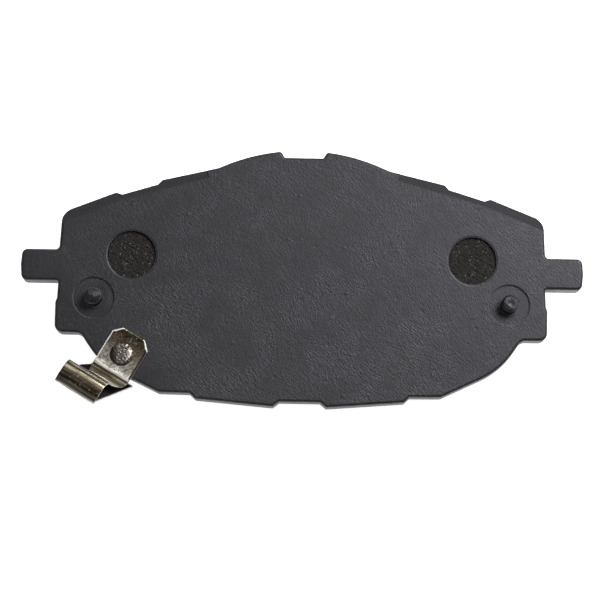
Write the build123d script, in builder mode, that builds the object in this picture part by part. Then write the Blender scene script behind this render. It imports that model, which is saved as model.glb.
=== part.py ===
"""Disc brake pad: backing plate, underlayer, two lining blocks, two locating pins and a riveted wear indicator.

The pad lies on its friction face. +Z is out of the back of the plate (the piston side), +Y is the humped edge
and +X is the right ear. The origin is at the middle of the friction face. Millimetres throughout.
"""

import os
from math import asin, cos, degrees, hypot, radians, sin, sqrt

from build123d import *

os.makedirs("parts", exist_ok=True)

# Heights, from the friction face upwards.
LINING_THICKNESS = 10.0
UNDERLAYER_THICKNESS = 1.5
PLATE_THICKNESS = 6.0
PLATE_BOTTOM = LINING_THICKNESS + UNDERLAYER_THICKNESS
PLATE_TOP = PLATE_BOTTOM + PLATE_THICKNESS

# Backing plate outline.
PLATE_HALF_LENGTH = 70.2
PLATE_HALF_HEIGHT = 32.15
EAR_TOP = 6.3
EAR_BOTTOM = -1.6
EAR_CROWN = 0.3
BODY_HALF_WIDTH = 60.7
SHOULDER_HALF_WIDTH = 61.3
SHOULDER_BOTTOM = -14.55
NOTCH_TOP = 30.6
NOTCH_BOTTOM = -30.9
OUTLINE_RADII = (
    0.5, 0.8, 48.0, 8.0, 0.8, 0.6, 0.8, 0.9, 4.0, 1.0, 1.5, 6.0,
    1.5, 0.6, 0.6, 0.8, 2.0, 2.2, 20.0, 1.5, 0.6, 0.8, 0.8, 0.5,
)
ROLLED_EDGE = 0.75
SHEARED_EDGE = 0.2

# Sloped coining along both upper edges.
BEVEL_WIDTH = 2.4
BEVEL_DEPTH = 1.1
BEVEL_START = (23.6, 25.0)
BEVEL_BEND = (45.0, 19.0)
BEVEL_END = (64.0, 11.4)

# Holes that the friction compound is moulded through.
KEY_HOLE_X = 42.5
KEY_HOLE_Y = 5.25
KEY_HOLE_DIAMETER = 12.0
KEY_RECESS = 0.7

# Locating pins, each pressed in and ringed by a round staking mark.
PIN_X = 51.75
PIN_Y = -5.7
PIN_SHANK_DIAMETER = 5.0
PIN_DIAMETER = 4.3
PIN_HEIGHT = 3.8
PIN_TIP_CHAMFER = 0.6
PIN_TIP_ROUND = 0.4
STAKE_DIAMETER = 10.1
STAKE_DEPTH = 0.4
STAKE_LIP_DIAMETER = 5.7
STAKE_LIP_HEIGHT = 0.25
STAKE_LIP_TOP = PLATE_TOP - STAKE_DEPTH + STAKE_LIP_HEIGHT

# Lining outline, the same in the blocks and the underlayer.
LINING_SLOT = 3.0
LINING_TOP = 26.0
LINING_BOTTOM = -26.0
LINING_ARC_RADIUS = 120.0
LINING_END_X = 52.5
LINING_HEEL = (48.5, -9.0)
LINING_FOOT_X = 30.0
LINING_CORNER = 2.0
LINING_CHAMFER_LENGTH = 9.0
LINING_CHAMFER_DEPTH = 3.0

# Wear indicator: bent from spring strip and laid out from its bend line beside the plate's lower left
# edge. Plan points are (along the bend line, outwards from it), section points (outwards, above the plate).
CLIP_THICKNESS = 0.6
CLIP_ORIGIN = (-50.6, -21.45)
CLIP_TURN = -30.2
CLIP_TAB_LEFT = -0.4
CLIP_TAB_RIGHT = 9.75
CLIP_TAB_END = -10.35
CLIP_TAB_CHAMFER = 1.9
CLIP_BAND_END = 3.5
CLIP_TAB_BEND = (0.2, CLIP_THICKNESS / 2)
CLIP_VALLEY = (3.15, -1.5)
CLIP_RIDGE = (3.85, 2.0)
CLIP_CROWN = (5.6, 2.55)
CLIP_SHOULDER = (8.0, 1.3)
CLIP_FOLD = (9.6, -0.3)
CLIP_BEND_RADII = (1.0, 0.6, 1.2, 2.2, 2.0, 0.38)
CLIP_LIP_BEND = (0.95, -7.4)
CLIP_LIP_TIP = (0.6, -8.5)
CLIP_LIP_RADIUS = 0.5
CLIP_LEG_START = 0.9
CLIP_HOOK_LEFT = ((-5.7, CLIP_BAND_END), (-6.2, 8.9), (-6.2, 10.2))
CLIP_HOOK_RIGHT = ((5.6, CLIP_BAND_END), (5.2, 8.9), (5.2, 10.2))
CLIP_LEG_LEFT = ((-3.5, 2.8), (-1.5, 1.3), (-0.9, -0.6))
CLIP_LEG_RIGHT = ((11.05, -0.6),)

# Rivet that holds the wear indicator.
RIVET_PLACE = (4.6, -4.5)
RIVET_SHANK_DIAMETER = 3.4
RIVET_HEAD_DIAMETER = 5.8
RIVET_HEAD_HEIGHT = 0.5
RIVET_HEAD_DRAFT = 0.2
RIVET_FOOT_DIAMETER = 5.4
RIVET_FOOT_HEIGHT = 1.0


def clip_point(along, out):
    """Plan position of a point given along the clip's bend line and outwards from it."""
    turn = radians(CLIP_TURN)
    return (
        CLIP_ORIGIN[0] + along * cos(turn) + out * sin(turn),
        CLIP_ORIGIN[1] + along * sin(turn) - out * cos(turn),
    )


# Backing plate: a blanked steel plate with an ear at each end.
with BuildPart() as backing_plate:
    with BuildSketch(Plane.XY.offset(PLATE_BOTTOM)):
        with BuildLine():
            FilletPolyline(
                (0, NOTCH_TOP),
                (4.85, NOTCH_TOP),
                (5.75, PLATE_HALF_HEIGHT),
                (13.8, 31.1),
                (21.4, 27.65),
                (35.4, 24.45),
                (36.5, 23.2),
                (45.4, 20.45),
                (46.9, 21.05),
                (60.2, 15.8),
                (BODY_HALF_WIDTH, EAR_TOP),
                (PLATE_HALF_LENGTH - EAR_CROWN, EAR_TOP),
                (PLATE_HALF_LENGTH, (EAR_TOP + EAR_BOTTOM) / 2),
                (PLATE_HALF_LENGTH - EAR_CROWN, EAR_BOTTOM),
                (BODY_HALF_WIDTH, EAR_BOTTOM),
                (60.9, -5.9),
                (SHOULDER_HALF_WIDTH, -7.0),
                (SHOULDER_HALF_WIDTH, SHOULDER_BOTTOM),
                (54.8, SHOULDER_BOTTOM),
                (49.9, -22.0),
                (35.0, -29.1),
                (27.3, -29.2),
                (25.9, -30.55),
                (6.6, -PLATE_HALF_HEIGHT),
                (5.1, NOTCH_BOTTOM),
                (0, NOTCH_BOTTOM),
                radius=OUTLINE_RADII,
            )
            mirror(about=Plane.YZ)
        make_face()
    extrude(amount=PLATE_THICKNESS)
    fillet(backing_plate.faces().sort_by(Axis.Z)[-1].edges(), ROLLED_EDGE)
    chamfer(backing_plate.faces().sort_by(Axis.Z)[0].edges(), SHEARED_EDGE)

    # Each upper edge is coined to a slope in two straight runs that meet at a slight bend.
    for side in (1, -1):
        for (x1, y1), (x2, y2) in ((BEVEL_START, BEVEL_BEND), (BEVEL_BEND, BEVEL_END)):
            run = hypot(x2 - x1, y2 - y1)
            outward = Vector(side * (y1 - y2) / run, (x2 - x1) / run, 0)
            slope_plane = Plane(
                origin=(side * x1, y1, PLATE_TOP),
                x_dir=outward,
                z_dir=(side * (x2 - x1), y2 - y1, 0),
            )
            with BuildSketch(slope_plane):
                up = 1 if slope_plane.y_dir.Z > 0 else -1
                with BuildLine():
                    Polyline(
                        (0, 0),
                        (2 * BEVEL_WIDTH, -2 * up * BEVEL_DEPTH),
                        (2 * BEVEL_WIDTH, up),
                        (0, up),
                        close=True,
                    )
                make_face()
            extrude(amount=run + 1.0, mode=Mode.SUBTRACT)

    with Locations((-KEY_HOLE_X, KEY_HOLE_Y, PLATE_TOP), (KEY_HOLE_X, KEY_HOLE_Y, PLATE_TOP)):
        Hole(KEY_HOLE_DIAMETER / 2)

    # The staking punch sinks a shallow round pocket and raises a lip against the pin.
    with BuildSketch(Plane.XY.offset(PLATE_TOP - STAKE_DEPTH)):
        with Locations((-PIN_X, PIN_Y), (PIN_X, PIN_Y)):
            Circle(STAKE_DIAMETER / 2)
            Circle(STAKE_LIP_DIAMETER / 2, mode=Mode.SUBTRACT)
    extrude(amount=STAKE_DEPTH, mode=Mode.SUBTRACT)
    with BuildSketch(Plane.XY.offset(STAKE_LIP_TOP)):
        with Locations((-PIN_X, PIN_Y), (PIN_X, PIN_Y)):
            Circle(STAKE_LIP_DIAMETER / 2)
    extrude(amount=STAKE_DEPTH, mode=Mode.SUBTRACT)
    with Locations((-PIN_X, PIN_Y, PLATE_TOP), (PIN_X, PIN_Y, PLATE_TOP)):
        Hole(PIN_SHANK_DIAMETER / 2)

    # Hole for the wear indicator's rivet, countersunk from the lining side.
    with BuildSketch(Plane.XY.offset(PLATE_BOTTOM)):
        with Locations(clip_point(*RIVET_PLACE)):
            Circle(RIVET_SHANK_DIAMETER / 2)
    extrude(amount=PLATE_THICKNESS, mode=Mode.SUBTRACT)
    with Locations(Location((*clip_point(*RIVET_PLACE), PLATE_BOTTOM))):
        Cone(
            RIVET_FOOT_DIAMETER / 2,
            RIVET_SHANK_DIAMETER / 2,
            RIVET_FOOT_HEIGHT,
            align=(Align.CENTER, Align.CENTER, Align.MIN),
            mode=Mode.SUBTRACT,
        )
backing_plate.part.label = "backing_plate"
export_step(backing_plate.part, "parts/backing_plate.step")


# Lining outline: arched along the top, with raked ends and cut-back lower corners.
with BuildSketch() as lining_outline:
    with BuildLine():
        arc_centre = LINING_TOP - LINING_ARC_RADIUS
        end_top = (LINING_END_X, arc_centre + sqrt(LINING_ARC_RADIUS**2 - LINING_END_X**2))
        CenterArc((0, arc_centre), LINING_ARC_RADIUS, 90, -degrees(asin(LINING_END_X / LINING_ARC_RADIUS)))
        Polyline(end_top, LINING_HEEL, (LINING_FOOT_X, LINING_BOTTOM), (0, LINING_BOTTOM))
        mirror(about=Plane.YZ)
    make_face()
    fillet(lining_outline.vertices().filter_by(lambda v: abs(v.X) > LINING_SLOT), LINING_CORNER)

# Underlayer: a thin bed of compound on the plate, keyed into it by a column in each hole.
with BuildPart() as underlayer:
    with BuildSketch(Plane.XY.offset(LINING_THICKNESS)):
        add(lining_outline.sketch)
    extrude(amount=UNDERLAYER_THICKNESS)
    with BuildSketch(Plane.XY.offset(PLATE_BOTTOM)):
        with Locations((-KEY_HOLE_X, KEY_HOLE_Y), (KEY_HOLE_X, KEY_HOLE_Y)):
            Circle(KEY_HOLE_DIAMETER / 2)
    extrude(amount=PLATE_THICKNESS - KEY_RECESS)
underlayer.part.label = "underlayer"
export_step(underlayer.part, "parts/underlayer.step")

# Lining blocks: friction compound, parted by the centre slot and chamfered at the outer ends.
for side, name in ((-1, "lining_block_left"), (1, "lining_block_right")):
    with BuildPart() as lining_block:
        with BuildSketch():
            add(lining_outline.sketch)
            with Locations((side * (LINING_SLOT / 2 + PLATE_HALF_LENGTH), 0)):
                Rectangle(2 * PLATE_HALF_LENGTH, 2 * PLATE_HALF_HEIGHT, mode=Mode.INTERSECT)
        extrude(amount=LINING_THICKNESS)
        with BuildSketch(Plane.XZ):
            with BuildLine():
                Polyline(
                    (side * LINING_END_X, 0),
                    (side * (LINING_END_X - LINING_CHAMFER_LENGTH), 0),
                    (side * LINING_END_X, LINING_CHAMFER_DEPTH),
                    close=True,
                )
            make_face()
        extrude(amount=PLATE_HALF_HEIGHT, both=True, mode=Mode.SUBTRACT)
    lining_block.part.label = name
    export_step(lining_block.part, f"parts/{name}.step")

# Locating pins: turned steel, pressed through the plate, with a plain free end and a rounded tip.
for side, name in ((-1, "left_locating_pin"), (1, "right_locating_pin")):
    with BuildPart() as locating_pin:
        with BuildSketch(Plane.XY.offset(PLATE_BOTTOM)):
            with Locations((side * PIN_X, PIN_Y)):
                Circle(PIN_SHANK_DIAMETER / 2)
        extrude(amount=STAKE_LIP_TOP - PLATE_BOTTOM)
        with BuildSketch(Plane.XY.offset(STAKE_LIP_TOP)):
            with Locations((side * PIN_X, PIN_Y)):
                Circle(PIN_DIAMETER / 2)
        extrude(amount=PLATE_TOP + PIN_HEIGHT - STAKE_LIP_TOP)
        chamfer(locating_pin.faces().sort_by(Axis.Z)[-1].edges(), PIN_TIP_CHAMFER)
        fillet(locating_pin.faces().sort_by(Axis.Z)[-1].edges(), PIN_TIP_ROUND)
    locating_pin.part.label = name
    export_step(locating_pin.part, f"parts/{name}.step")

# Wear indicator: the strip's section is drawn in two stretches, and each is cut to its own plan.
clip_turn = radians(CLIP_TURN)
clip_section = Plane(
    origin=(*CLIP_ORIGIN, PLATE_TOP),
    x_dir=(sin(clip_turn), -cos(clip_turn), 0),
    z_dir=(-cos(clip_turn), -sin(clip_turn), 0),
)
fold_to_lip = Vector(CLIP_LIP_BEND[0] - CLIP_FOLD[0], CLIP_LIP_BEND[1] - CLIP_FOLD[1], 0).normalized()
leg_start = Vector(*CLIP_FOLD, 0) + CLIP_LEG_START * fold_to_lip

# The leg runs back under the hook and ends in a scraper lip beside the plate's edge.
leg_plan = [CLIP_HOOK_LEFT[2], CLIP_HOOK_LEFT[1], *CLIP_LEG_LEFT, *CLIP_LEG_RIGHT, *CLIP_HOOK_RIGHT[1:]]
with BuildPart() as indicator_leg:
    with BuildSketch(clip_section):
        with BuildLine():
            FilletPolyline(leg_start, CLIP_LIP_BEND, CLIP_LIP_TIP, radius=CLIP_LIP_RADIUS)
        trace(line_width=CLIP_THICKNESS)
    extrude(amount=2 * CLIP_TAB_RIGHT, both=True)
    with BuildSketch():
        with BuildLine():
            Polyline(*[clip_point(*point) for point in leg_plan], close=True)
        make_face()
    extrude(amount=2 * PLATE_TOP, mode=Mode.INTERSECT)

# The tab lies on the plate, the band dips past its edge, and the arched hook folds over to the leg.
upper_plan = [
    (CLIP_TAB_LEFT, CLIP_TAB_END + CLIP_TAB_CHAMFER),
    (CLIP_TAB_LEFT + CLIP_TAB_CHAMFER, CLIP_TAB_END),
    (CLIP_TAB_RIGHT - CLIP_TAB_CHAMFER, CLIP_TAB_END),
    (CLIP_TAB_RIGHT, CLIP_TAB_END + CLIP_TAB_CHAMFER),
    (CLIP_TAB_RIGHT, 0.5),
    (9.5, 1.5),
    (8.9, 2.45),
    (7.9, 3.4),
    *CLIP_HOOK_RIGHT,
    *reversed(CLIP_HOOK_LEFT),
    (CLIP_TAB_LEFT, CLIP_BAND_END),
]
with BuildPart() as wear_indicator:
    with BuildSketch(clip_section):
        with BuildLine():
            FilletPolyline(
                (CLIP_TAB_END, CLIP_THICKNESS / 2),
                CLIP_TAB_BEND,
                CLIP_VALLEY,
                CLIP_RIDGE,
                CLIP_CROWN,
                CLIP_SHOULDER,
                CLIP_FOLD,
                leg_start,
                radius=CLIP_BEND_RADII,
            )
        trace(line_width=CLIP_THICKNESS)
    extrude(amount=2 * CLIP_TAB_RIGHT, both=True)
    with BuildSketch():
        with BuildLine():
            Polyline(*[clip_point(*point) for point in upper_plan], close=True)
        make_face()
    extrude(amount=2 * PLATE_TOP, mode=Mode.INTERSECT)
    add(indicator_leg.part)
    with Locations((*clip_point(*RIVET_PLACE), PLATE_TOP)):
        Hole(RIVET_SHANK_DIAMETER / 2)
wear_indicator.part.label = "wear_indicator"
export_step(wear_indicator.part, "parts/wear_indicator.step")

# Rivet: countersunk foot, shank through the plate and the tab, head spread flat over the tab.
with BuildPart() as indicator_rivet:
    rivet_x, rivet_y = clip_point(*RIVET_PLACE)
    with BuildSketch(Plane.XZ.offset(-rivet_y)):
        with BuildLine():
            Polyline(
                (rivet_x, PLATE_BOTTOM),
                (rivet_x + RIVET_FOOT_DIAMETER / 2, PLATE_BOTTOM),
                (rivet_x + RIVET_SHANK_DIAMETER / 2, PLATE_BOTTOM + RIVET_FOOT_HEIGHT),
                (rivet_x + RIVET_SHANK_DIAMETER / 2, PLATE_TOP + CLIP_THICKNESS),
                (rivet_x + RIVET_HEAD_DIAMETER / 2, PLATE_TOP + CLIP_THICKNESS),
                (rivet_x + RIVET_HEAD_DIAMETER / 2 - RIVET_HEAD_DRAFT, PLATE_TOP + CLIP_THICKNESS + RIVET_HEAD_HEIGHT),
                (rivet_x, PLATE_TOP + CLIP_THICKNESS + RIVET_HEAD_HEIGHT),
                close=True,
            )
        make_face()
    revolve(axis=Axis((rivet_x, rivet_y, 0), (0, 0, 1)))
indicator_rivet.part.label = "indicator_rivet"
export_step(indicator_rivet.part, "parts/indicator_rivet.step")
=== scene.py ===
import math

import bpy
import numpy as np
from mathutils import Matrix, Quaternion, Vector


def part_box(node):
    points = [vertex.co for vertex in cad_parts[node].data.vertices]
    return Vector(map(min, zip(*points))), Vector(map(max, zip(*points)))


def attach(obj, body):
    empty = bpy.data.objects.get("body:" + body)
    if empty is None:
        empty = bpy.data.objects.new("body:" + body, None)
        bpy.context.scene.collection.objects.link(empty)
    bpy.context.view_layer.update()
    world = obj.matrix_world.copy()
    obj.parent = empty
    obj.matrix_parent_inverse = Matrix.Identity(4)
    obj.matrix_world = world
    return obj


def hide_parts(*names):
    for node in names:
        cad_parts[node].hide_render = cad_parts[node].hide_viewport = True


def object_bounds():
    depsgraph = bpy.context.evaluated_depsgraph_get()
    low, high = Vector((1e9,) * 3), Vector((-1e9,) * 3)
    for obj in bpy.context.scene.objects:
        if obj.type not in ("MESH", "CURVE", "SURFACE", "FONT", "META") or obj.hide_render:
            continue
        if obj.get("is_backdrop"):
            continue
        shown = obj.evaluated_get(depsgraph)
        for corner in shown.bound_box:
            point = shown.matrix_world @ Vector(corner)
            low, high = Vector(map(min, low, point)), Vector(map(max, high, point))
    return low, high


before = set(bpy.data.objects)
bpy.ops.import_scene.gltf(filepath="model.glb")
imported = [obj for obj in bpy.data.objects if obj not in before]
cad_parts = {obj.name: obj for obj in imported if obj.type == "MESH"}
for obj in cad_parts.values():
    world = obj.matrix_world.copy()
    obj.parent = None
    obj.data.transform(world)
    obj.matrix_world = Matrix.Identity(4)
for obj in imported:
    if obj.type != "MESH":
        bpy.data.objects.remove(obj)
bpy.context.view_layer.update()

# ---------------------------------------------------------------------------------------------------
# Camera. A long lens looks almost straight down on the back of the pad, from a little to the side of
# its straight edge, and is turned by about one degree about its own line of sight.
# ---------------------------------------------------------------------------------------------------
camera_distance = 0.6444
camera_elevation = math.radians(82.64)
camera_roll = math.radians(1.106)
plate_low, plate_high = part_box("backing_plate")
aim = Vector((-0.00035, -0.0054, plate_high.z))

lens = bpy.data.cameras.new("camera")
lens.sensor_width = 36.0
lens.lens = 155.35
lens.clip_start = 0.01
lens.clip_end = 20.0
camera = bpy.data.objects.new("camera", lens)
bpy.context.scene.collection.objects.link(camera)
towards_camera = Vector((0.0, -math.cos(camera_elevation), math.sin(camera_elevation)))
camera.location = aim + camera_distance * towards_camera
camera.rotation_mode = "QUATERNION"
camera.rotation_quaternion = (-towards_camera).to_track_quat("-Z", "Y") @ Quaternion((0, 0, 1), camera_roll)
bpy.context.scene.camera = camera

# ---------------------------------------------------------------------------------------------------
# Backing plate. A 6 mm steel blank, coined to a slope along both upper edges, drilled and staked, then
# powder coated black. The coat dried to fine slanting wrinkles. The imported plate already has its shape.
# ---------------------------------------------------------------------------------------------------


def new_finish(name):
    """New material with an adder of nodes, a feeder of its Principled shader, and the Object coordinates.

    Inputs given by position or by name (an underscore stands for a space) are linked if they are sockets
    and set as values if not. Lower-case names are settings of the node itself."""
    material = bpy.data.materials.new(name)
    material.use_nodes = True
    tree = material.node_tree

    def feed(node, inputs):
        for key, value in inputs:
            if isinstance(value, bpy.types.NodeSocket):
                tree.links.new(value, node.inputs[key])
            elif node.inputs[key].type == "RGBA":
                node.inputs[key].default_value = (*value, 1.0)
            else:
                node.inputs[key].default_value = value

    def add(kind, *inputs, **named):
        node = tree.nodes.new("ShaderNode" + kind)
        for key, value in named.items():
            if key[0].islower():
                setattr(node, key, value)
        feed(node, enumerate(inputs))
        feed(node, [(key.replace("_", " "), value) for key, value in named.items() if key[0].isupper()])
        return node

    def shade(**named):
        feed(tree.nodes["Principled BSDF"], [(key.replace("_", " "), value) for key, value in named.items()])

    return material, add, shade, add("TexCoord").outputs["Object"]


def noise(add, place, scale, detail=2.0, roughness=0.5):
    """Value of a noise over the place, from 0 to 1."""
    return add("TexNoise", place, Scale=scale, Detail=detail, Roughness=roughness).outputs["Fac"]


def drawn_out(add, place, turn, length):
    """The place, shrunk along one direction in the XY plane so that a pattern on it is drawn out there.

    It is turned back by the angle first, so that X lies along the direction, and X is then divided."""
    mapping = add("Mapping", place, vector_type="TEXTURE", Rotation=(0, 0, math.radians(turn)))
    mapping.inputs["Scale"].default_value = (length, 1, 1)
    return mapping.outputs["Vector"]


def spread(add, value, low, high, to_low=0.0, to_high=1.0):
    """The value carried from the range low..high to another range, and held at its ends."""
    return add("MapRange", value, low, high, to_low, to_high).outputs["Result"]


def combine(add, operation, first, second):
    """Sum, product or other simple operation on two values."""
    return add("Math", first, second, operation=operation).outputs[0]


def between(add, factor, first, second):
    """Number between two others, by the factor."""
    node = add("Mix", Factor=factor)
    for key, value in ((2, first), (3, second)):
        if isinstance(value, bpy.types.NodeSocket):
            node.id_data.links.new(value, node.inputs[key])
        else:
            node.inputs[key].default_value = value
    return node.outputs[0]


def tint(add, factor, first, second):
    """Colour between two others, by the factor."""
    node = add("Mix", Factor=factor, data_type="RGBA")
    for key, value in ((6, first), (7, second)):
        if isinstance(value, bpy.types.NodeSocket):
            node.id_data.links.new(value, node.inputs[key])
        else:
            node.inputs[key].default_value = (*value, 1.0)
    return node.outputs[2]


def dots(add, place, per_metre, share, radius):
    """Round dots, 1 inside and 0 outside, in the given share of the cells of a scattered cell pattern."""
    cells = add("TexVoronoi", place, Scale=per_metre)
    chosen = combine(add, "LESS_THAN", add("SeparateColor", cells.outputs["Color"]).outputs[0], share)
    inside = spread(add, cells.outputs["Distance"], radius, 0.6 * radius)
    return combine(add, "MULTIPLY", chosen, inside)


def relief(add, height, depth, normal=None, strength=1.0):
    """Normal of the surface raised by the height, 0 to 1, times the depth in metres."""
    node = add("Bump", Height=height, Distance=depth, Strength=strength)
    if normal is not None:
        node.id_data.links.new(normal, node.inputs["Normal"])
    return node.outputs["Normal"]


coat_dark = (0.006, 0.0057, 0.0066)
coat_light = (0.013, 0.0123, 0.0145)
pit_colour = (0.008, 0.008, 0.009)
bare_steel = (0.17, 0.17, 0.175)
wrinkles_per_metre = 3000.0
pressed_roughness = 0.72
pin_x, pin_y, stake_radius = 0.05175, -0.0057, 0.0051
hole_x, hole_y, hole_radius = 0.0425, 0.00525, 0.006
hole_lip_radius = hole_radius + 0.0002
round_marks = [(-pin_x, pin_y, stake_radius, 0.00007), (pin_x, pin_y, stake_radius, 0.00005),
               (-hole_x, hole_y, hole_lip_radius, 0.0001), (hole_x, hole_y, hole_lip_radius, 0.00008)]


def wrinkle_coat(name, roughness=0.40, rubbed_from=None):
    """Black powder coat. Two slants of wrinkle take turns over most of the pad and a third, the other way,
    takes over towards the lower left corner. The slopes pressed along the upper edges are matt. Each round
    mark, given as (x, y, radius, depth), is a low step in the coat. Towards the height rubbed_from, bare
    steel shows through."""
    material, add, shade, place = new_finish(name)
    drift = noise(add, place, 60.0, 1.0)
    steep = noise(add, drawn_out(add, place, -66, 1.8), wrinkles_per_metre, 2.0, 0.6)
    slant = noise(add, drawn_out(add, place, -42, 2.2), wrinkles_per_metre, 2.0, 0.6)
    rising = noise(add, drawn_out(add, place, 46, 2.6), 0.8 * wrinkles_per_metre, 2.0, 0.6)
    parts = add("SeparateXYZ", place)
    corner = combine(add, "ADD", parts.outputs["X"], parts.outputs["Y"])
    wrinkles = between(add, spread(add, drift, 0.42, 0.58), steep, slant)
    wrinkles = between(add, spread(add, corner, -0.056, -0.068), wrinkles, rising)
    patches = spread(add, noise(add, place, 130.0, 2.0), 0.35, 0.65, 0.3, 0.6)
    patches = combine(add, "MULTIPLY", patches, spread(add, parts.outputs["Y"], 0.005, -0.022, 1.0, 1.7))
    peel = noise(add, place, 420.0, 3.0, 0.6)
    pits = dots(add, place, 300.0, 0.10, 0.16)
    grit = dots(add, drawn_out(add, place, 20, 1.3), 420.0, 0.05, 0.2)

    normal = relief(add, wrinkles, 0.0002, strength=patches)
    normal = relief(add, peel, 0.00004, normal)
    normal = relief(add, combine(add, "SUBTRACT", grit, pits), 0.00004, normal)
    for mark_x, mark_y, mark_radius, mark_depth in round_marks:
        shifted = add("Mapping", place, Location=(-mark_x, -mark_y, 0), Scale=(1, 1, 0)).outputs["Vector"]
        radius = add("VectorMath", shifted, operation="LENGTH").outputs["Value"]
        edge = spread(add, radius, mark_radius - 0.0001, mark_radius + 0.0002)
        normal = relief(add, edge, mark_depth, normal)
    colour = tint(add, spread(add, wrinkles, 0.3, 0.7), coat_dark, coat_light)
    colour = tint(add, pits, colour, pit_colour)
    pressed = combine(add, "MULTIPLY", spread(add, parts.outputs["Y"], 0.010, 0.012),
                      spread(add, parts.outputs["Z"], plate_high.z - 0.00006, plate_high.z - 0.0002))
    gloss = spread(add, peel, 0.2, 0.8, roughness, roughness + 0.14)
    shade(Roughness=between(add, pressed, gloss, pressed_roughness), Normal=normal)
    shade(Specular_Tint=(0.94, 0.925, 1.0))
    if rubbed_from is not None:
        worn = combine(add, "MULTIPLY", spread(add, parts.outputs["Z"], rubbed_from - 0.0006, rubbed_from),
                       noise(add, place, 1300.0, 4.0))
        worn = spread(add, worn, 0.54, 0.70)
        colour = tint(add, worn, colour, bare_steel)
        shade(Metallic=worn)
    shade(Base_Color=colour)
    return material


black_coat = wrinkle_coat("black_wrinkle_coat")
for coat_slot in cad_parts["backing_plate"].material_slots:
    coat_slot.material = black_coat

# ---------------------------------------------------------------------------------------------------
# Locating pins. Two turned steel pins, pressed through the plate and staked round, then coated with it.
# The left one's end was crushed into facets; the right one's end is smooth and slightly hollow.
# ---------------------------------------------------------------------------------------------------


def bent_path(corners, radii, spacing, arc_steps=8):
    """Points along straight runs joined by round bends, for corners given as (a, b) pairs.

    At a corner the bend starts and ends r tan(turn / 2) from it. Its points lie on the circle about the
    centre c = start + r n, where n is square to the incoming run on the inner side, at equal angles."""
    corners = np.asarray(corners, dtype=float)
    pieces, start = [], corners[0]
    for before, corner, after, radius in zip(corners, corners[1:], corners[2:], radii):
        first = (corner - before) / np.linalg.norm(corner - before)
        second = (after - corner) / np.linalg.norm(after - corner)
        side = np.sign(first[0] * second[1] - first[1] * second[0]) or 1.0
        turn = side * np.arccos(np.clip(first @ second, -1, 1))
        arc_start = corner - first * radius * np.tan(abs(turn) / 2)
        run = max(2, int(np.linalg.norm(arc_start - start) / spacing) + 1)
        pieces.append(start + np.linspace(0, 1, run)[:-1, None] * (arc_start - start))
        square = side * radius * np.array([-first[1], first[0]])
        angles = np.linspace(0, turn, arc_steps + 1)[:, None]
        pieces.append(arc_start + square - square * np.cos(angles) + radius * first * np.sin(abs(angles)))
        start = pieces[-1][-1]
        pieces[-1] = pieces[-1][:-1]
    run = max(2, int(np.linalg.norm(corners[-1] - start) / spacing) + 1)
    pieces.append(start + np.linspace(0, 1, run)[:, None] * (corners[-1] - start))
    return np.concatenate(pieces)


def turned(profile, centre, count):
    """Rings of a surface of revolution: x = cx + r cos a, y = cy + r sin a, at the profile's (r, z)."""
    angle = np.linspace(0, 2 * np.pi, count, endpoint=False)
    radius, height = profile[:, :1], profile[:, 1:]
    rings = (centre[0] + radius * np.cos(angle), centre[1] + radius * np.sin(angle), height + 0 * angle)
    return np.stack(rings, axis=-1)


def closed_skin(name, stacks, material, sharp=40.0):
    """Piece made of closed skins, one for each stack of rings, an array of (rings, points, 3).

    Each ring's points run anticlockwise seen from the stack's last ring. Neighbouring rings are joined by
    quads that wrap around, and a fan about the mean of its points closes each end ring."""
    corners, quads, fans, total = [], [], [], 0
    for rings in stacks:
        levels, count = rings.shape[:2]
        index = total + np.arange(levels * count).reshape(levels, count)
        following = np.roll(index, -1, axis=1)
        quads.append(np.stack([index[:-1], following[:-1], following[1:], index[1:]], -1).reshape(-1, 4))
        bottom, top = total + levels * count, total + levels * count + 1
        fans.append(np.stack([0 * index[0] + bottom, following[0], index[0]], -1))
        fans.append(np.stack([0 * index[0] + top, index[-1], following[-1]], -1))
        corners += [rings.reshape(-1, 3), rings[:1].mean(axis=1), rings[-1:].mean(axis=1)]
        total = top + 1
    mesh = bpy.data.meshes.new(name)
    faces = np.concatenate(quads).tolist() + np.concatenate(fans).tolist()
    mesh.from_pydata(np.concatenate(corners), [], faces)
    mesh.shade_smooth()
    mesh.set_sharp_from_angle(angle=math.radians(sharp))
    mesh.materials.append(material)
    piece = bpy.data.objects.new(name, mesh)
    bpy.context.scene.collection.objects.link(piece)
    return piece


pin_radius = 0.00215
pin_point_radius = 0.0016
pin_point_height = 0.0006
lip_height = plate_high.z - 0.00015


def crushed_end(across, along):
    """Depth of the left pin's end: the deepest of seven chisel cuts, each a plane that starts a little off
    the middle and slopes away from it, depth = slope times (distance along its direction - its start)."""
    turns = np.radians([20, 75, 118, 160, 214, 262, 318])
    starts = np.array([0.2, 0.75, 0.35, 0.9, 0.15, 0.6, 0.5]) / 1000
    slopes = np.array([0.16, 0.45, 0.30, 0.6, 0.32, 0.5, 0.38])
    reach = across[..., None] * np.cos(turns) + along[..., None] * np.sin(turns) - starts
    return (slopes * np.maximum(reach, 0)).max(axis=-1)


def hollow_end(across, along):
    """Depth of the right pin's end: a shallow round hollow a little right of the middle, and a flat chip."""
    hollow = 0.00016 * np.exp(-((across - 0.0002) ** 2 + (along + 0.0001) ** 2) / 0.0007**2)
    return hollow + 0.30 * np.maximum(-0.6 * across - 0.8 * along - 0.0007, 0)


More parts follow.
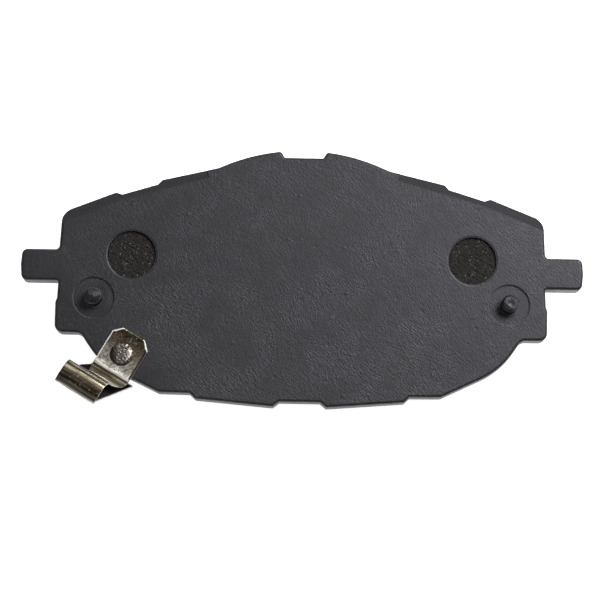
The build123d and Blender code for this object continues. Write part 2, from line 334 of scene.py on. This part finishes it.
for side_name, worn_end in (("left", crushed_end), ("right", hollow_end)):
    node = side_name + "_locating_pin"
    low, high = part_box(node)
    centre = ((low.x + high.x) / 2, (low.y + high.y) / 2)
    shank_radius = (high.x - low.x) / 2
    pin_profile = bent_path(
        [(shank_radius, low.z), (shank_radius, lip_height), (pin_radius, lip_height),
         (pin_radius, high.z - pin_point_height), (pin_point_radius, high.z), (0.00006, high.z)],
        radii=[0.00003, 0.00005, 0.00015, 0.00015], spacing=0.0001, arc_steps=4,
    )
    rings = turned(pin_profile, centre, 96)
    near_end = np.clip((rings[..., 2] - high.z + pin_point_height) / pin_point_height, 0, 1)
    rings[..., 2] -= near_end * worn_end(rings[..., 0] - centre[0], rings[..., 1] - centre[1])
    pin = closed_skin(node.replace("locating_", "") + "_turned", [rings],
                      wrinkle_coat(side_name + "_pin_coat", roughness=0.34, rubbed_from=high.z), sharp=25.0)
    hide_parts(node)
    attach(pin, "root")

# ---------------------------------------------------------------------------------------------------
# Underlayer. A dark compound of resin, grit and fibre, pressed on under the lining. It is forced into
# the plate's two holes and sets there as rough columns that stop a little below the plate's back.
# ---------------------------------------------------------------------------------------------------


def uneven(places, grain, seed, waves=24):
    """Even random relief, mostly within -1 and 1: a sum of plane waves of random direction, phase and
    length (near the grain size), divided by the root of half their number."""
    draw = np.random.default_rng(seed)
    direction = draw.normal(size=(waves, 3))
    direction /= np.linalg.norm(direction, axis=1, keepdims=True)
    wave = 2 * np.pi * direction / (grain * draw.uniform(0.6, 1.8, (waves, 1)))
    return np.sin(places @ wave.T + draw.uniform(0, 2 * np.pi, waves)).sum(-1) / math.sqrt(waves / 2)


def grit_finish(name, base, dark, grains, fleck, roughness, grain_per_metre=1500.0):
    """Friction compound: mottled base, rounded grains in several colours, pits, and a few bright flecks."""
    material, add, shade, place = new_finish(name)
    mottle = noise(add, place, 0.45 * grain_per_metre, 4.0, 0.65)
    colour = tint(add, spread(add, mottle, 0.35, 0.65), dark, base)
    height = mottle
    for number, (grain_colour, share) in enumerate(grains):
        shifted = add("Mapping", place, Location=(0.013 * number, 0.007 * number, 0.005 * number)).outputs[0]
        grain = dots(add, shifted, grain_per_metre * (0.8 + 0.25 * number), share, 0.45)
        colour = tint(add, grain, colour, grain_colour)
        height = combine(add, "ADD", height, grain)
    bright = dots(add, place, 1.3 * grain_per_metre, 0.022, 0.5)
    colour = tint(add, bright, colour, fleck)
    normal = relief(add, height, 0.00006)
    normal = relief(add, noise(add, place, 3.0 * grain_per_metre, 2.0), 0.00005, normal)
    shade(Base_Color=colour, Metallic=spread(add, bright, 0.0, 1.0, 0.0, 0.3), Normal=normal)
    shade(Roughness=spread(add, mottle, 0.3, 0.7, roughness - 0.08, roughness + 0.1))
    return material


def lining_reach(angle, centre, half_planes, hardness=70.0):
    """Distance from the centre to the lining's outline at each angle. A straight edge with outward normal n
    and offset d is met at (d - n.c) / (n.u), and the arched top where |c + t u - a| is its radius. The
    nearest of them counts, with corners eased by the sum t = (sum of t_k to the power -p) to the -1/p."""
    heading = np.stack([np.cos(angle), np.sin(angle)], -1)
    centre = np.asarray(centre)
    from_arc = centre - np.array([0.0, arch_top - arch_radius])
    along = heading @ from_arc
    arch = -along + np.sqrt(along**2 - from_arc @ from_arc + arch_radius**2)
    total = arch**-hardness
    for normal_x, normal_y, offset in half_planes:
        facing = np.maximum(heading @ (normal_x, normal_y), 0)
        total = total + (facing / (offset - centre @ (normal_x, normal_y))) ** hardness
    return total ** (-1 / hardness)


arch_top, arch_radius = 0.026, 0.120
lining_end, lining_bottom = 0.0525, -0.026
heel, foot = (0.0485, -0.009), (0.030, lining_bottom)
end_top = arch_top - arch_radius + math.sqrt(arch_radius**2 - lining_end**2)


def edge_plane(start, end):
    """Outward normal and offset of the straight edge that runs anticlockwise from start to end."""
    length = math.dist(start, end)
    normal = ((end[1] - start[1]) / length, (start[0] - end[0]) / length)
    return (*normal, normal[0] * start[0] + normal[1] * start[1])


right_edges = [edge_plane(foot, heel), edge_plane(heel, (lining_end, end_top))]
left_edges = [(-normal_x, normal_y, offset) for normal_x, normal_y, offset in right_edges]
bottom_edge = (0.0, -1.0, -lining_bottom)

block_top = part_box("lining_block_left")[1].z
angles = np.linspace(0, 2 * np.pi, 720, endpoint=False)
bed_reach = lining_reach(angles, (0, 0), [*right_edges, *left_edges, bottom_edge])
bed_profile = bent_path([(0.01, block_top), (1.0, block_top), (1.0, plate_low.z), (0.01, plate_low.z)],
                        radii=[0.0002, 0.0002], spacing=0.12, arc_steps=3)
bed_share, bed_height = bed_profile[:, :1], bed_profile[:, 1:]
bed = np.stack([bed_share * bed_reach * np.cos(angles), bed_share * bed_reach * np.sin(angles),
                bed_height + 0 * angles], axis=-1)
bed_stand_back = 0.0015 * (1 + uneven(bed, 0.0035, seed=3)) * (bed_share > 0.9)
bed[..., :2] *= 1 - bed_stand_back[..., None]

column_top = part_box("underlayer")[1].z
strands, strand_steps, strand_sides, strand_radius = 22, 13, 6, 0.000034
columns, fibres = [], []
for number, column_x in enumerate((-hole_x, hole_x)):
    profile = bent_path(
        [(hole_radius, block_top + 0.0008), (hole_radius, column_top), (0.00006, column_top)],
        radii=[0.00025], spacing=0.00009, arc_steps=4,
    )
    column = turned(profile, (column_x, hole_y), 260)
    on_top = np.clip((hole_radius - profile[:, :1]) / 0.0003, 0, 1)
    coarse_relief = 0.07 * uneven(column, 0.0011, seed=11 + number)
    fine_relief = 0.05 * uneven(column, 0.0005, seed=17 + number)
    column[..., 2] += on_top * np.minimum((coarse_relief + fine_relief) / 1000 - 0.00008, 0.00003)
    columns.append(column)

    draw = np.random.default_rng(31 + number)
    radial = 0.0052 * np.sqrt(draw.uniform(0, 1, strands))
    bearing = draw.uniform(0, 2 * np.pi, strands)
    heading = draw.uniform(0, 2 * np.pi, strands)
    length = draw.uniform(0.0006, 0.0019, strands)
    bend = draw.uniform(-2.2, 2.2, strands)
    step = np.linspace(-0.5, 0.5, strand_steps)
    way = heading[:, None] + bend[:, None] * step
    run = length[:, None] / strand_steps
    line_x = np.cumsum(np.cos(way), axis=1) * run + (radial * np.cos(bearing))[:, None]
    line_y = np.cumsum(np.sin(way), axis=1) * run + (radial * np.sin(bearing))[:, None]
    line_z = column_top + 0.00001 - 0.00014 * (2 * step) ** 2
    round_angle = np.linspace(0, 2 * np.pi, strand_sides, endpoint=False)
    across = strand_radius * np.cos(round_angle)
    rings = np.stack([
        column_x + line_x[..., None] - np.sin(way)[..., None] * across,
        hole_y + line_y[..., None] + np.cos(way)[..., None] * across,
        line_z[None, :, None] + strand_radius * np.sin(round_angle) + 0 * way[..., None],
    ], axis=-1)
    fibres += list(rings)

dark_compound = grit_finish(
    "underlayer_compound", base=(0.010, 0.0075, 0.006), dark=(0.003, 0.0025, 0.002),
    grains=[((0.045, 0.014, 0.008), 0.08), ((0.05, 0.038, 0.028), 0.05), ((0.002, 0.002, 0.002), 0.15)],
    fleck=(0.34, 0.30, 0.26), roughness=0.82, grain_per_metre=3000.0,
)
underlayer = closed_skin("moulded_underlayer", [bed, *columns], dark_compound)
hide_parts("underlayer")
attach(underlayer, "root")

fibre_finish, add, shade, place = new_finish("compound_fibre")
fibre_shade = spread(add, noise(add, place, 900.0), 0.35, 0.65)
shade(Base_Color=tint(add, fibre_shade, (0.05, 0.04, 0.03), (0.20, 0.18, 0.15)), Roughness=0.5)
fibre_piece = closed_skin("underlayer_fibres", fibres, fibre_finish)
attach(fibre_piece, "root")

# ---------------------------------------------------------------------------------------------------
# Lining blocks. Two blocks of friction compound, moulded rough at their sides, with a slot between them.
# Their outer ends are ground to a slope and their faces are ground flat, which opens pores and grains.
# ---------------------------------------------------------------------------------------------------
slot_half = 0.0015
slope_length, slope_depth = 0.009, 0.003
face_rings, wall_rings, top_rings, ring_points = 110, 34, 4, 560


def block_rings(side, centre, seed):
    """Rings of one block: the ground face from its middle outwards, the moulded side upwards, and the top
    inwards. A ring is the outline times its share s of the reach. The face's height is the end slope,
    slope * max(|x| - start, 0), plus pores; the side stands back by a small random relief."""
    edges = right_edges if side > 0 else left_edges
    slot_plane = (-side, 0.0, -slot_half)
    turn = np.linspace(0, 2 * np.pi, ring_points, endpoint=False)
    reach = lining_reach(turn, centre, [*edges, slot_plane, bottom_edge], hardness=110.0)
    face, top = np.linspace(0.01, 1, face_rings), np.linspace(1, 0.05, top_rings)
    wall = np.linspace(0, 1, wall_rings)
    share = np.concatenate([face, np.ones(wall_rings), top])[:, None]
    climb = np.concatenate([np.zeros(face_rings), wall, np.ones(top_rings)])[:, None]
    x = centre[0] + share * reach * np.cos(turn)
    y = centre[1] + share * reach * np.sin(turn)
    slope = slope_depth / slope_length * np.maximum(abs(x) - (lining_end - slope_length), 0)
    z = slope + climb * (block_top - slope)
    rings = np.stack([x, y, z], axis=-1)
    pores = np.maximum(uneven(rings, 0.0016, seed) - 1.15, 0) * 0.00022
    rings[..., 2] += pores * (climb == 0) * (share < 0.995)
    on_wall = (share == 1.0) & (climb > 0.02) & (climb < 1.0)
    stand_back = on_wall * 0.00006 * (1.2 + uneven(rings, 0.0022, seed + 1))
    rings[..., 0] -= stand_back * np.cos(turn)
    rings[..., 1] -= stand_back * np.sin(turn)
    return rings


ground_compound = grit_finish(
    "friction_compound", base=(0.105, 0.095, 0.085), dark=(0.045, 0.041, 0.038),
    grains=[((0.16, 0.09, 0.05), 0.10), ((0.022, 0.02, 0.02), 0.22), ((0.24, 0.21, 0.16), 0.08)],
    fleck=(0.75, 0.62, 0.42), roughness=0.72, grain_per_metre=900.0,
)
for side, side_name in ((-1, "left"), (1, "right")):
    block = closed_skin("friction_block_" + side_name, [block_rings(side, (side * 0.027, 0.0), 40 + side)],
                        ground_compound)
    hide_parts("lining_block_" + side_name)
    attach(block, "root")

# ---------------------------------------------------------------------------------------------------
# Wear indicator. One strip of 0.6 mm spring steel, sheared to shape, bent over a former and tempered,
# which leaves brown and olive tints. Its tab lies on the plate; its hook folds back to a scraping leg.
# Its colour also holds painted light: near-white and near-black lines along the bends and at the fold are
# painted highlights and painted reflections, a bright band round the tab's edge is a painted highlight,
# and the leg and the tab's right side carry painted shade.
# ---------------------------------------------------------------------------------------------------
strip_thickness = 0.0006
bend_origin = np.array([-50.6, -21.45]) / 1000
bend_turn = -30.2
tab_left, tab_right, tab_end, tab_cut = -0.4, 9.75, -10.35, 1.9
band_corner_start, band_corner_end, band_end = 0.3, 3.2, 3.5
hook_line = [(3.5, -5.7, 5.6), (8.9, -6.2, 5.2), (10.2, -6.2, 5.2)]
leg_line = [(-0.6, -0.9, 11.05), (1.3, -1.5, None), (2.8, -3.5, None), (8.9, -6.2, 5.2), (10.2, -6.2, 5.2)]
section = [(tab_end, 0.3), (0.2, 0.3), (3.15, -1.5), (3.85, 2.0), (5.6, 2.55), (8.0, 1.3), (9.6, -0.3),
           (0.95, -7.4), (0.6, -8.5)]
section_radii = [2.4, 0.6, 1.2, 2.2, 2.0, 0.38, 0.5]
left_columns, middle_columns, right_columns = 16, 22, 14
left_margin, end_margin, right_margin, edge_highlight_width = 0.15, 0.3, 0.2, 0.33


def strip_rows():
    """Centre line of the strip, as (out, up) in millimetres, and which of its rows come after the fold."""
    path = bent_path(section, section_radii, spacing=0.2, arc_steps=9)
    after_fold = np.arange(len(path)) > np.argmax(path[:, 0])
    return path[:, 0], path[:, 1], after_fold


def strip_edges(out, after_fold):
    """Left edge, two inner lines and right edge of the strip, in millimetres along the bend line.

    The tab has straight cut corners, and the band's outer corner is a rounded one, with
    right = line + width * (1 - u^2.4)^(1 / 2.4). Hook and leg have straight edges between their points."""
    hook_out, hook_left, hook_right = np.array(hook_line).T
    left_points = [(point[0], point[1]) for point in leg_line]
    right_points = [(point[0], point[2]) for point in leg_line if point[2] is not None]
    leg_left = np.interp(out, *np.array(left_points).T)
    leg_right = np.interp(out, *np.array(right_points).T)
    left = np.where(after_fold, leg_left, np.interp(out, hook_out, hook_left))
    inner_right = np.where(after_fold, leg_right, np.interp(out, hook_out, hook_right))
    cut = np.maximum(tab_end + tab_cut - out, 0) * ~after_fold
    inner_left = tab_left + cut
    corner = np.clip((out - band_corner_start) / (band_corner_end - band_corner_start), 0, 0.994)
    right = inner_right + (tab_right - inner_right) * (1 - corner**2.4) ** (1 / 2.4) - cut
    return left, inner_left, inner_right, right


def strip_mesh(name, *materials):
    """The strip's middle surface: rows along its section, and columns in three bands side by side.

    The middle band runs all the way; the left one exists from the band's end onwards, the right one up to
    the band's rounded corner. Each point is origin + along * (cos t, sin t) + out * (sin t, -cos t).

    The tab's faces nearer than edge_highlight_width to its outline take the second material, as a painted
    highlight of the edge that the shear rounded over. Each straight edge is first moved outwards by its
    own margin, so that the bright strip beside it is that much narrower."""
    out, up, after_fold = strip_rows()
    left, inner_left, inner_right, right = strip_edges(out, after_fold)
    left_share = np.linspace(0, 1, left_columns)
    middle_share = np.linspace(0, 1, middle_columns)
    right_share = np.linspace(0, 1, right_columns)
    along = np.concatenate([
        left[:, None] + (inner_left - left)[:, None] * left_share,
        inner_left[:, None] + (inner_right - inner_left)[:, None] * middle_share[1:],
        inner_right[:, None] + (right - inner_right)[:, None] * right_share[1:],
    ], axis=1)
    turn = math.radians(bend_turn)
    x = bend_origin[0] + (along * math.cos(turn) + out[:, None] * math.sin(turn)) / 1000
    y = bend_origin[1] + (along * math.sin(turn) - out[:, None] * math.cos(turn)) / 1000
    z = plate_high.z + (up[:, None] + 0 * along) / 1000

    rows, columns_in_row = along.shape
    row = np.arange(rows - 1)[:, None]
    column = np.arange(columns_in_row - 1)[None, :]
    rise = np.argmax(out > band_end)
    valley = np.argmax(out > band_corner_end)
    in_left = column < left_columns - 1
    in_right = column >= left_columns + middle_columns - 2
    kept = np.where(in_left, row >= rise, np.where(in_right, row < valley, True))
    out_column = out[:, None] + 0 * along
    # The tab's top face along its outline gets the bright edge finish: a painted highlight of the edge that
    # the shear rounded over.
    margin = np.minimum.reduce([
        along - tab_left + left_margin, out_column - tab_end + end_margin, tab_right - along + right_margin,
        (along - tab_left + out_column - tab_end - tab_cut) / math.sqrt(2),
        (tab_right - along + out_column - tab_end - tab_cut) / math.sqrt(2),
    ])
    middle_margin = (margin[:-1, :-1] + margin[1:, :-1] + margin[1:, 1:] + margin[:-1, 1:]) / 4
    edge_highlight = (middle_margin < edge_highlight_width) & (out[:-1, None] < -0.2) & ~after_fold[:-1, None]
    index = np.arange(rows * columns_in_row).reshape(rows, columns_in_row)
    quads = np.stack([index[:-1, :-1], index[1:, :-1], index[1:, 1:], index[:-1, 1:]], -1)[kept]
    used, quads = np.unique(quads, return_inverse=True)
    points = np.stack([x, y, z], -1).reshape(-1, 3)[used]
    mesh = bpy.data.meshes.new(name)
    mesh.from_pydata(points, [], quads.reshape(-1, 4).tolist())
    for material in materials:
        mesh.materials.append(material)
    mesh.polygons.foreach_set("material_index", edge_highlight[kept].astype(int))
    mesh.shade_smooth()
    return mesh


def along_strip(add, place):
    """Place in the strip's own directions: X along the bend line, Y inwards to the tab's end, in metres."""
    mapping = add("Mapping", place, vector_type="TEXTURE", Location=(*bend_origin, plate_high.z))
    mapping.inputs["Rotation"].default_value = (0, 0, math.radians(bend_turn))
    return mapping.outputs["Vector"]


# Tones along the strip as (place in millimetres, shade, tint). They hold temper tint and painted light
# together: the nearly white lines at the first bend, the crest and the fold, and the nearly black lines
# beside the bends, are painted highlights and painted reflections.
brown, olive, grey, bright = (1, 0.76, 0.53), (1, 0.87, 0.62), (1, 0.92, 0.79), (1, 0.96, 0.86)
tint_and_reflection_lines = [
    (-10.4, 0.10, olive), (-9.7, 0.06, brown), (-8.8, 0.11, brown), (-7.6, 0.16, brown),
    (-5.5, 0.20, olive), (-3.0, 0.30, grey), (-1.6, 0.34, grey), (-1.0, 0.46, grey),
    (-0.4, 0.92, bright), (-0.1, 0.98, bright), (0.45, 0.98, bright), (0.75, 0.15, brown),
    (1.05, 0.14, brown), (1.35, 0.90, olive), (1.7, 0.22, olive), (2.2, 0.40, olive),
    (2.7, 0.34, grey), (3.15, 0.14, grey), (3.4, 0.012, olive), (3.75, 0.98, grey),
    (4.05, 0.05, olive), (4.47, 0.02, olive), (4.75, 0.40, olive), (5.5, 0.36, olive),
    (5.75, 0.03, brown), (6.35, 0.17, brown), (7.05, 0.18, brown), (7.6, 0.015, brown),
    (8.2, 0.16, olive), (8.75, 0.012, brown), (9.2, 0.24, grey), (9.6, 0.70, bright),
]


def bands(add, value, rows):
    """Colour along the value in metres, from a list of (place in millimetres, shade, tint).

    At a place it is the tint times the shade, and it changes evenly from one place to the next."""
    first, last = rows[0][0], rows[-1][0]
    ramp = add("ValToRGB", spread(add, value, first / 1000, last / 1000))
    stops = ramp.color_ramp.elements
    for number, (place_mm, brightness, band_tint) in enumerate(rows):
        share = (place_mm - first) / (last - first)
        stop = stops[number] if number < 2 else stops.new(share)
        stop.position = share
        stop.color = (*(brightness * part for part in band_tint), 1.0)
    return ramp.outputs["Color"]


def strip_tint_and_painted_light():
    """Rolled spring steel. Fine grain crosses the tab and streaks run along the bends. Its colour is dark
    brown at the tab's end and on the hook, and it breaks into thin lines beside each bend; the nearly
    white and nearly black ones are painted highlights and painted reflections, the rest is temper tint.

    The leg is one dark colour, painted shade under the hook: it is what lies below a line that falls by
    leg_fall for each metre inwards from the fold. The tab's right side has painted shade from brown_from
    to brown_full along the bend line."""
    fold_out, leg_fall = 0.0096, 0.45
    brown_from, brown_full = 0.0091, 0.0094
    material, add, shade, place = new_finish("strip_tint_and_painted_light")
    own = along_strip(add, place)
    sideways, inward, upward = add("SeparateXYZ", own).outputs
    grain = noise(add, drawn_out(add, own, 60, 1.6), 2000.0, 3.0, 0.7)
    streaks = noise(add, drawn_out(add, own, 0, 14.0), 2400.0, 3.0, 0.6)
    cloud = noise(add, own, 420.0, 3.0, 0.6)
    on_tab = spread(add, inward, -0.0002, 0.0002)
    mottle = between(add, on_tab, streaks, grain)
    waver_height = between(add, on_tab, 0.0002, 0.005)
    waver = combine(add, "MULTIPLY", combine(add, "SUBTRACT", cloud, 0.5), waver_height)
    outward = combine(add, "MULTIPLY", combine(add, "ADD", inward, waver), -1.0)
    colour = bands(add, outward, tint_and_reflection_lines)
    strength = spread(add, mottle, 0.35, 0.65, 0.4, 1.6)
    colour = add("VectorMath", colour, operation="SCALE", Scale=strength).outputs[0]
    on_tab_end = spread(add, inward, 0.004, 0.007)
    on_hook = combine(add, "MULTIPLY", spread(add, inward, -0.0056, -0.006),
                      spread(add, inward, -0.0082, -0.0078))
    dull = combine(add, "MAXIMUM", on_tab_end, on_hook)
    specks = dots(add, own, 1900.0, 0.17, 0.34)
    colour = tint(add, combine(add, "MULTIPLY", specks, dull), colour, (0.70, 0.60, 0.47))
    # The leg under the hook is painted one dark colour: painted shade, as it lies in the hook's shadow.
    to_fold = combine(add, "MULTIPLY", combine(add, "ADD", inward, fold_out), leg_fall)
    leg_shade = spread(add, combine(add, "ADD", upward, to_fold), -0.0001, -0.0003)
    colour = tint(add, leg_shade, colour, (0.10, 0.088, 0.074))
    # Painted shade: the tab's right side is darkened towards a dark red-brown.
    right_side_shade = combine(add, "MULTIPLY", on_tab, spread(add, sideways, brown_from, brown_full))
    colour = tint(add, right_side_shade, colour, (0.060, 0.030, 0.028))
    shade(Base_Color=colour, Metallic=1.0, Specular_IOR_Level=0.5)
    shade(Roughness=between(add, dull, spread(add, cloud, 0.3, 0.7, 0.36, 0.46), 0.32))
    shade(Normal=relief(add, mottle, 0.00003))
    return material


def sheared_edge_and_highlight():
    """Raw edge of the strip: bright, dull and scored across by the shear. Beside the tab's outline it also
    covers part of the top face, where its brightness is a painted highlight.
    """
    material, add, shade, place = new_finish("sheared_edge_and_highlight")
    score = noise(add, drawn_out(add, place, 0, 0.4), 2200.0, 2.0)
    shade(Base_Color=tint(add, score, (0.62, 0.60, 0.57), (0.80, 0.78, 0.75)), Metallic=0.3)
    shade(Roughness=0.5, Normal=relief(add, score, 0.00002))
    return material


strip = bpy.data.objects.new("bent_strip", strip_mesh("bent_strip", strip_tint_and_painted_light(), sheared_edge_and_highlight()))
bpy.context.scene.collection.objects.link(strip)
wall = strip.modifiers.new("strip_thickness", "SOLIDIFY")
wall.thickness = strip_thickness
wall.offset = 0.0
wall.use_even_offset = True
wall.material_offset_rim = 1
broken_edge = strip.modifiers.new("broken_edge", "BEVEL")
broken_edge.width = 0.0001
broken_edge.segments = 1
broken_edge.limit_method = "ANGLE"
broken_edge.angle_limit = math.radians(50)
broken_edge.material = 1
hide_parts("wear_indicator")
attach(strip, "root")

# ---------------------------------------------------------------------------------------------------
# Rivet. Soft steel, with a countersunk foot under the plate. Its head was spread over the tab by a
# knurled punch, which left dimples and a raised patch on one side, worn bright. The head's colour also
# holds painted light: a painted highlight on that patch and near the top, and painted shade on its
# outer ring and left side.
# ---------------------------------------------------------------------------------------------------
rivet_low, rivet_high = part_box("indicator_rivet")
rivet_centre = ((rivet_low.x + rivet_high.x) / 2, (rivet_low.y + rivet_high.y) / 2)
head_radius = (rivet_high.x - rivet_low.x) / 2
tab_top = plate_high.z + strip_thickness
foot_radius, foot_height, stem_radius = 0.0027, 0.001, 0.0017
rim_height, crown_radius, crown_height = 0.00018, 0.0021, rivet_high.z - 0.00006
rivet_profile = bent_path(
    [(foot_radius, rivet_low.z), (stem_radius, rivet_low.z + foot_height), (stem_radius, tab_top),
     (head_radius, tab_top), (head_radius, tab_top + rim_height), (crown_radius, crown_height),
     (0.00005, crown_height)],
    radii=[0.0001, 0.00005, 0.00008, 0.00012, 0.0004], spacing=0.00006, arc_steps=4,
)
rivet_rings = turned(rivet_profile, rivet_centre, 200)
on_head = np.clip((rivet_rings[..., 2] - tab_top - 0.0001) / 0.0002, 0, 1)
across = rivet_rings[..., 0] - rivet_centre[0]
upwards = rivet_rings[..., 1] - rivet_centre[1]
dimple_x, dimple_y, dimple_size = np.array([
    (0.04, 0.52, 0.2), (-0.52, 0.12, 0.18), (0.72, -1.04, 0.22), (-0.16, -1.24, 0.22), (0.44, -1.96, 0.2),
    (0.56, 2.3, 0.2), (-0.36, 1.88, 0.18), (-1.3, 0.84, 0.16), (-0.9, -0.6, 0.15), (1.1, 1.2, 0.24),
    (0.95, 0.75, 0.2), (0.92, 0.3, 0.2), (1.05, -0.1, 0.2), (1.25, -0.5, 0.18), (1.5, 1.75, 0.22),
    (-1.6, -1.1, 0.16), (0.1, 1.25, 0.15), (2.0, -1.4, 0.24), (-0.7, -1.8, 0.16),
]).T / 1000
spacing_squared = (across[..., None] - dimple_x) ** 2 + (upwards[..., None] - dimple_y) ** 2
dimples = (0.75 * dimple_size * np.exp(-spacing_squared / dimple_size**2)).max(axis=-1)
patch_ring = np.exp(-((np.hypot(across, upwards) - 0.0017) / 0.00045) ** 2)
patch = patch_ring * (across > 0.0006) * (upwards < 0.0012)
bumps = 0.000012 * uneven(rivet_rings, 0.0009, seed=8) + 0.00004 * patch
rivet_rings[..., 2] += on_head * (np.minimum(bumps, 0.00006) - dimples)

rivet_finish, add, shade, place = new_finish("punched_rivet")
own = add("Mapping", place, vector_type="TEXTURE", Location=(*rivet_centre, tab_top)).outputs["Vector"]
radius = add("VectorMath", own, operation="LENGTH").outputs["Value"]
sides = add("SeparateXYZ", own).outputs
ragged = combine(add, "MULTIPLY", combine(add, "SUBTRACT", noise(add, own, 1800.0, 3.0), 0.5), 0.0016)
radius = combine(add, "ADD", radius, ragged)
# Bright crescent towards the right and bright spot near the top of the head: worn metal and painted
# highlight.
crescent = combine(add, "MULTIPLY", spread(add, radius, 0.0013, 0.0016), spread(add, radius, 0.0024, 0.0022))
crescent = combine(add, "MULTIPLY", crescent, spread(add, sides["X"], 0.0009, 0.0012))
crescent = combine(add, "MULTIPLY", crescent, spread(add, sides["Y"], 0.0012, 0.0009))
bright_spot_place = add("Mapping", own, vector_type="TEXTURE", Location=(0.0007, 0.00205, 0),
                  Rotation=(0, 0, 0.35), Scale=(1.9, 0.75, 1)).outputs["Vector"]
bright_spot = add("VectorMath", bright_spot_place, operation="LENGTH").outputs["Value"]
bright_spot = combine(add, "ADD", bright_spot, ragged)
rubbed_and_highlight = combine(add, "MAXIMUM", crescent, spread(add, bright_spot, 0.00045, 0.0003))
grime = noise(add, own, 1500.0, 3.0, 0.6)
# Darker outer ring and left side of the head: painted shade.
head_edge_shade = combine(add, "MAXIMUM", spread(add, radius, 0.0023, 0.0026), spread(add, sides["X"], -0.0011, -0.0015))
rivet_colour = tint(add, grime, (0.06, 0.052, 0.047), (0.22, 0.20, 0.185))
rivet_colour = tint(add, combine(add, "MULTIPLY", head_edge_shade, 0.8), rivet_colour, (0.035, 0.026, 0.024))
rivet_colour = tint(add, rubbed_and_highlight, rivet_colour, (0.52, 0.45, 0.38))
shade(Base_Color=rivet_colour, Metallic=1.0, Roughness=spread(add, grime, 0.3, 0.7, 0.36, 0.48))
shade(Normal=relief(add, grime, 0.00001))
rivet = closed_skin("punched_rivet", [rivet_rings], rivet_finish, sharp=60.0)
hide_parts("indicator_rivet")
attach(rivet, "root")

# ---------------------------------------------------------------------------------------------------
# Studio. A white sheet under the pad, a large soft light at the upper right, a small one high on the left,
# a faint one in front and a soft one behind. All else is dark, so that rounded edges draw black lines.
# ---------------------------------------------------------------------------------------------------
sheet_reach = 4.0
sheet_height = -0.0001
sheet_corners = [(-sheet_reach, -sheet_reach, sheet_height), (sheet_reach, -sheet_reach, sheet_height),
                 (sheet_reach, sheet_reach, sheet_height), (-sheet_reach, sheet_reach, sheet_height)]
sheet_mesh = bpy.data.meshes.new("paper_sheet")
sheet_mesh.from_pydata(sheet_corners, [], [(0, 1, 2, 3)])
paper, add, shade, place = new_finish("white_paper")
fibre = noise(add, place, 60.0)
shade(Base_Color=tint(add, fibre, (0.84, 0.84, 0.84), (0.9, 0.9, 0.9)), Roughness=0.9)
shade(Emission_Color=(1.0, 1.0, 1.0), Emission_Strength=0.93)
sheet_mesh.materials.append(paper)
sheet = bpy.data.objects.new("paper_sheet", sheet_mesh)
bpy.context.scene.collection.objects.link(sheet)
sheet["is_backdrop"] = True


def soft_light(name, position, size, power):
    """Rectangular lamp at a position in metres, turned to face the pad and unseen by the camera."""
    data = bpy.data.lights.new(name, "AREA")
    data.shape = "RECTANGLE"
    data.size, data.size_y = size
    data.energy = power
    lamp = bpy.data.objects.new(name, data)
    bpy.context.scene.collection.objects.link(lamp)
    lamp.location = position
    lamp.rotation_mode = "QUATERNION"
    lamp.rotation_quaternion = (-Vector(position)).to_track_quat("-Z", "Y")
    lamp.visible_camera = False


soft_light("key", (0.25, 0.22, 0.45), (0.30, 0.30), 3.8)
soft_light("fill", (-0.21, -0.16, 0.60), (0.09, 0.09), 0.34)
soft_light("front", (-0.32, -0.50, 0.27), (0.30, 0.20), 0.12)
soft_light("back", (-0.24, 0.38, 0.42), (0.20, 0.20), 0.5)

world = bpy.data.worlds.new("studio")
bpy.context.scene.world = world
world.use_nodes = True
surroundings = world.node_tree.nodes["Background"]
seen = world.node_tree.nodes.new("ShaderNodeLightPath").outputs["Is Camera Ray"]
room = world.node_tree.nodes.new("ShaderNodeMix")
room.data_type = "RGBA"
room.inputs[6].default_value = (0.03, 0.03, 0.031, 1)
room.inputs[7].default_value = (0.9, 0.9, 0.9, 1)
world.node_tree.links.new(seen, room.inputs["Factor"])
world.node_tree.links.new(room.outputs[2], surroundings.inputs["Color"])
bpy.context.scene.view_settings.view_transform = "Standard"

low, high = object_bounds()
